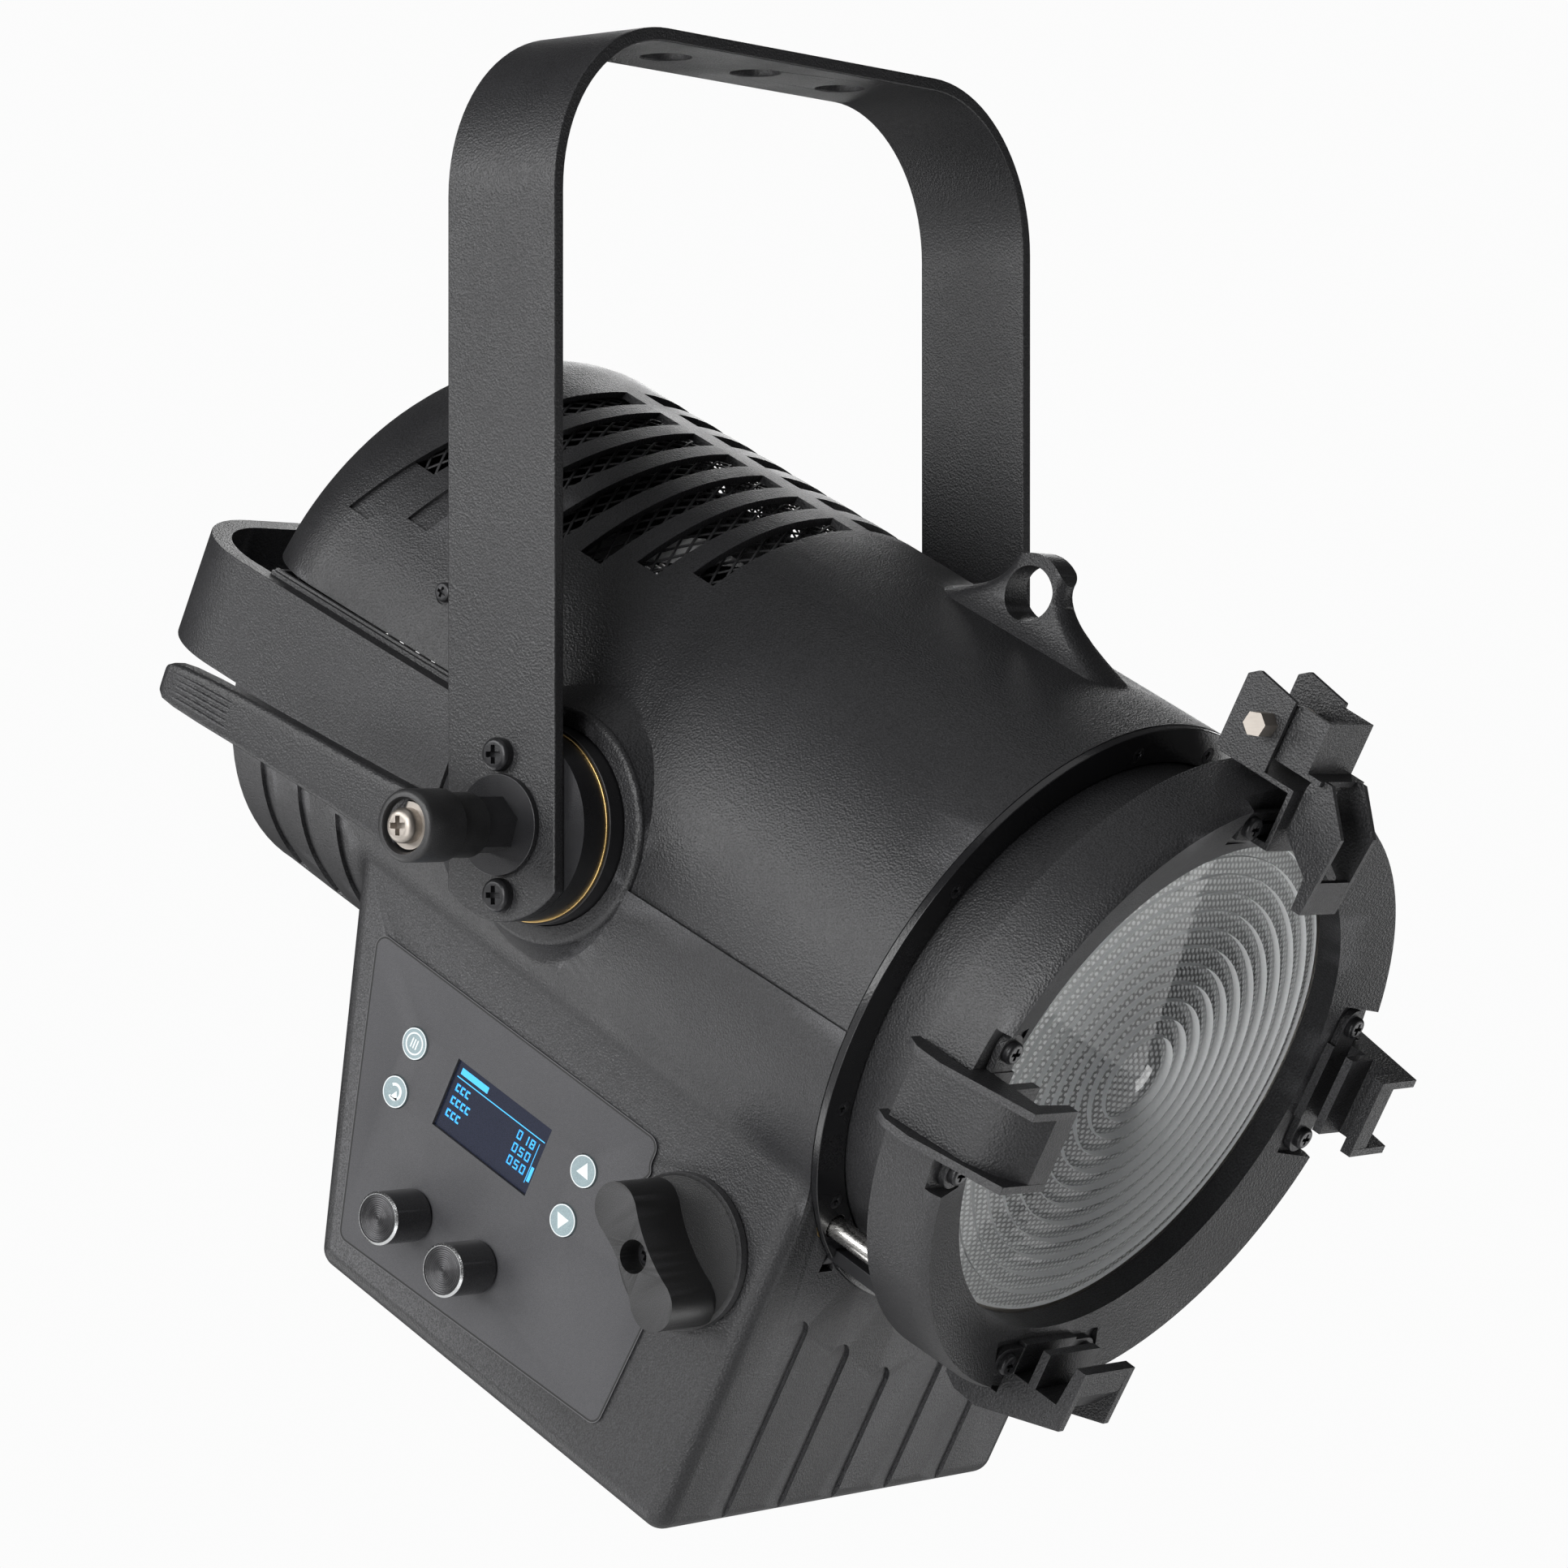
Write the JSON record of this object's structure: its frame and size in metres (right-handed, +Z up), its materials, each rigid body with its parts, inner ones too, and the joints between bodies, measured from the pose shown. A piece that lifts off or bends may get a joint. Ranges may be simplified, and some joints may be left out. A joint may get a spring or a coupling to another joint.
{
  "type": "stage spotlight",
  "caption": "LED Fresnel stage spotlight on a U-shaped yoke, with focus knob, control panel, accessory brackets, tilt clamp lever and rear handle.",
  "frame": {"origin": "centre of the yoke's centre clamp hole, on the top face of the yoke", "axes": "+Z up through the clamp hole; the lens faces -Y, tipped down at rest; the control panel and the clamp lever are on the -X side"},
  "size_m": [0.3494, 0.4674, 0.5351],
  "materials": {
    "black_coat": "fine-textured matte powder coat",
    "black_cast": "fine-textured matte powder coat on a casting",
    "black_gloss": "gloss black coat",
    "black_anodised": "black anodised",
    "black_plastic": "satin",
    "grey_overlay": "satin printed sheet",
    "button_grey": "satin",
    "display_glass": "gloss",
    "lens_glass": "pressed",
    "zinc_steel": "zinc plated",
    "ground_steel": "ground and polished",
    "brass": "turned",
    "raw_aluminium": "extruded",
    "board_green": "solder mask",
    "white_reflector": "white",
    "tin_case": "perforated sheet case",
    "black_mesh": "perforated sheet",
    "socket_blue": "satin"
  },
  "bodies": {
    "yoke": {"yoke_bar": "black_coat", "yoke_hub_near": "black_anodised", "yoke_hub_far": "black_anodised", "yoke_arm_screws": "black_anodised", "pivot_washers": "black_anodised", "far_pivot_bolt": "zinc_steel"},
    "clamp": {"clamp_insert": "black_anodised", "clamp_screw": "zinc_steel", "clamp_spring": "zinc_steel"},
    "lever": {"clamp_handle": "black_coat"},
    "head": {"upper_housing": "black_cast", "lower_housing": "black_cast", "housing_screws": "black_anodised", "rear_handle": "black_cast", "rear_plate": "black_coat", "power_sockets": "socket_blue", "data_sockets": "black_plastic", "fuse_holder": "black_plastic", "trunnion_near": "black_anodised", "trunnion_far": "black_anodised", "friction_washers": "brass", "louvre_mesh": "black_mesh", "led_board": "board_green", "mixing_reflector": "white_reflector", "heat_sink": "raw_aluminium", "fan_frame": "black_plastic", "power_supply": "tin_case", "driver_board": "board_green", "control_board": "board_green", "control_overlay": "grey_overlay", "display_window": "display_glass", "zoom_bush": "brass", "front_flange": "black_gloss", "flange_screws": "black_anodised", "guide_bushes": "brass"},
    "carriage": {"guide_rods": "ground_steel", "lens_sleeve": "black_cast", "front_ring": "black_cast", "fresnel_lens": "lens_glass", "lens_clip_ring": "zinc_steel", "bracket_screws": "black_anodised", "accessory_bracket_bottom": "black_cast", "accessory_bracket_left": "black_cast", "accessory_bracket_right": "black_cast", "latch_bracket": "black_coat", "latch_pin": "zinc_steel", "focus_rack": "black_anodised"},
    "latch": {"latch_hook": "black_coat", "latch_spring": "zinc_steel"},
    "zoom": {"zoom_knob": "black_plastic", "zoom_knob_screw": "black_anodised", "zoom_shaft": "ground_steel", "zoom_pinion": "zinc_steel"},
    "fan": {"fan_rotor": "black_plastic"},
    "encoder_rear": {"encoder_knob_rear": "black_anodised"},
    "encoder_front": {"encoder_knob_front": "black_anodised"},
    "key_menu": {"button_menu": "button_grey"},
    "key_back": {"button_back": "button_grey"},
    "key_left": {"button_left": "button_grey"},
    "key_right": {"button_right": "button_grey"}
  },
  "joints": [
    {"name": "tilt", "type": "hinge", "parent": "yoke", "child": "head", "pos_m": [0, 0, -0.285], "axis": [1, 0, 0], "range_deg": [-73.33, 61.67]},
    {"name": "clamp_turn", "type": "hinge", "parent": "yoke", "child": "clamp", "pos_m": [0, 0, -0.285], "axis": [1, 0, 0], "range_deg": [-120, 15]},
    {"name": "lever_lift", "type": "slide", "parent": "clamp", "child": "lever", "axis": [-1, 0, 0], "range_m": [0, 0.0045], "stiffness_N_per_m": 900, "springref_m": -0.004},
    {"name": "focus_slide", "type": "slide", "parent": "head", "child": "carriage", "axis": [0, -0.8802, -0.4745], "range_m": [-0.026, 0.024]},
    {"name": "zoom_turn", "type": "hinge", "parent": "head", "child": "zoom", "pos_m": [0, -0.0493, -0.43484], "axis": [1, 0, 0], "range_deg": [-99.4, 91.8]},
    {"name": "latch_swing", "type": "hinge", "parent": "carriage", "child": "latch", "pos_m": [0, -0.23686, -0.25024], "axis": [1, 0, 0], "range_deg": [-75, 0], "stiffness_Nm_per_rad": 0.15, "springref_deg": 28.65},
    {"name": "fan_spin", "type": "hinge", "parent": "head", "child": "fan", "pos_m": [0, 0.08968, -0.23324], "axis": [0, -0.8802, -0.4745], "continuous": true},
    {"name": "encoder_rear_turn", "type": "hinge", "parent": "head", "child": "encoder_rear", "pos_m": [-0.11, 0.07938, -0.42909], "axis": [1, 0, 0], "continuous": true},
    {"name": "encoder_front_turn", "type": "hinge", "parent": "head", "child": "encoder_front", "pos_m": [-0.11, 0.0477, -0.44617], "axis": [1, 0, 0], "continuous": true},
    {"name": "press_menu", "type": "slide", "parent": "head", "child": "key_menu", "axis": [1, 0, 0], "range_m": [0, 0.0006], "stiffness_N_per_m": 1500, "springref_m": -0.0006},
    {"name": "press_back", "type": "slide", "parent": "head", "child": "key_back", "axis": [1, 0, 0], "range_m": [0, 0.0006], "stiffness_N_per_m": 1500, "springref_m": -0.0006},
    {"name": "press_left", "type": "slide", "parent": "head", "child": "key_left", "axis": [1, 0, 0], "range_m": [0, 0.0006], "stiffness_N_per_m": 1500, "springref_m": -0.0006},
    {"name": "press_right", "type": "slide", "parent": "head", "child": "key_right", "axis": [1, 0, 0], "range_m": [0, 0.0006], "stiffness_N_per_m": 1500, "springref_m": -0.0006}
  ],
  "couplings": [
    {"joint": "zoom_turn", "follows": "focus_slide", "rad_per_m": 66.667}
  ]
}
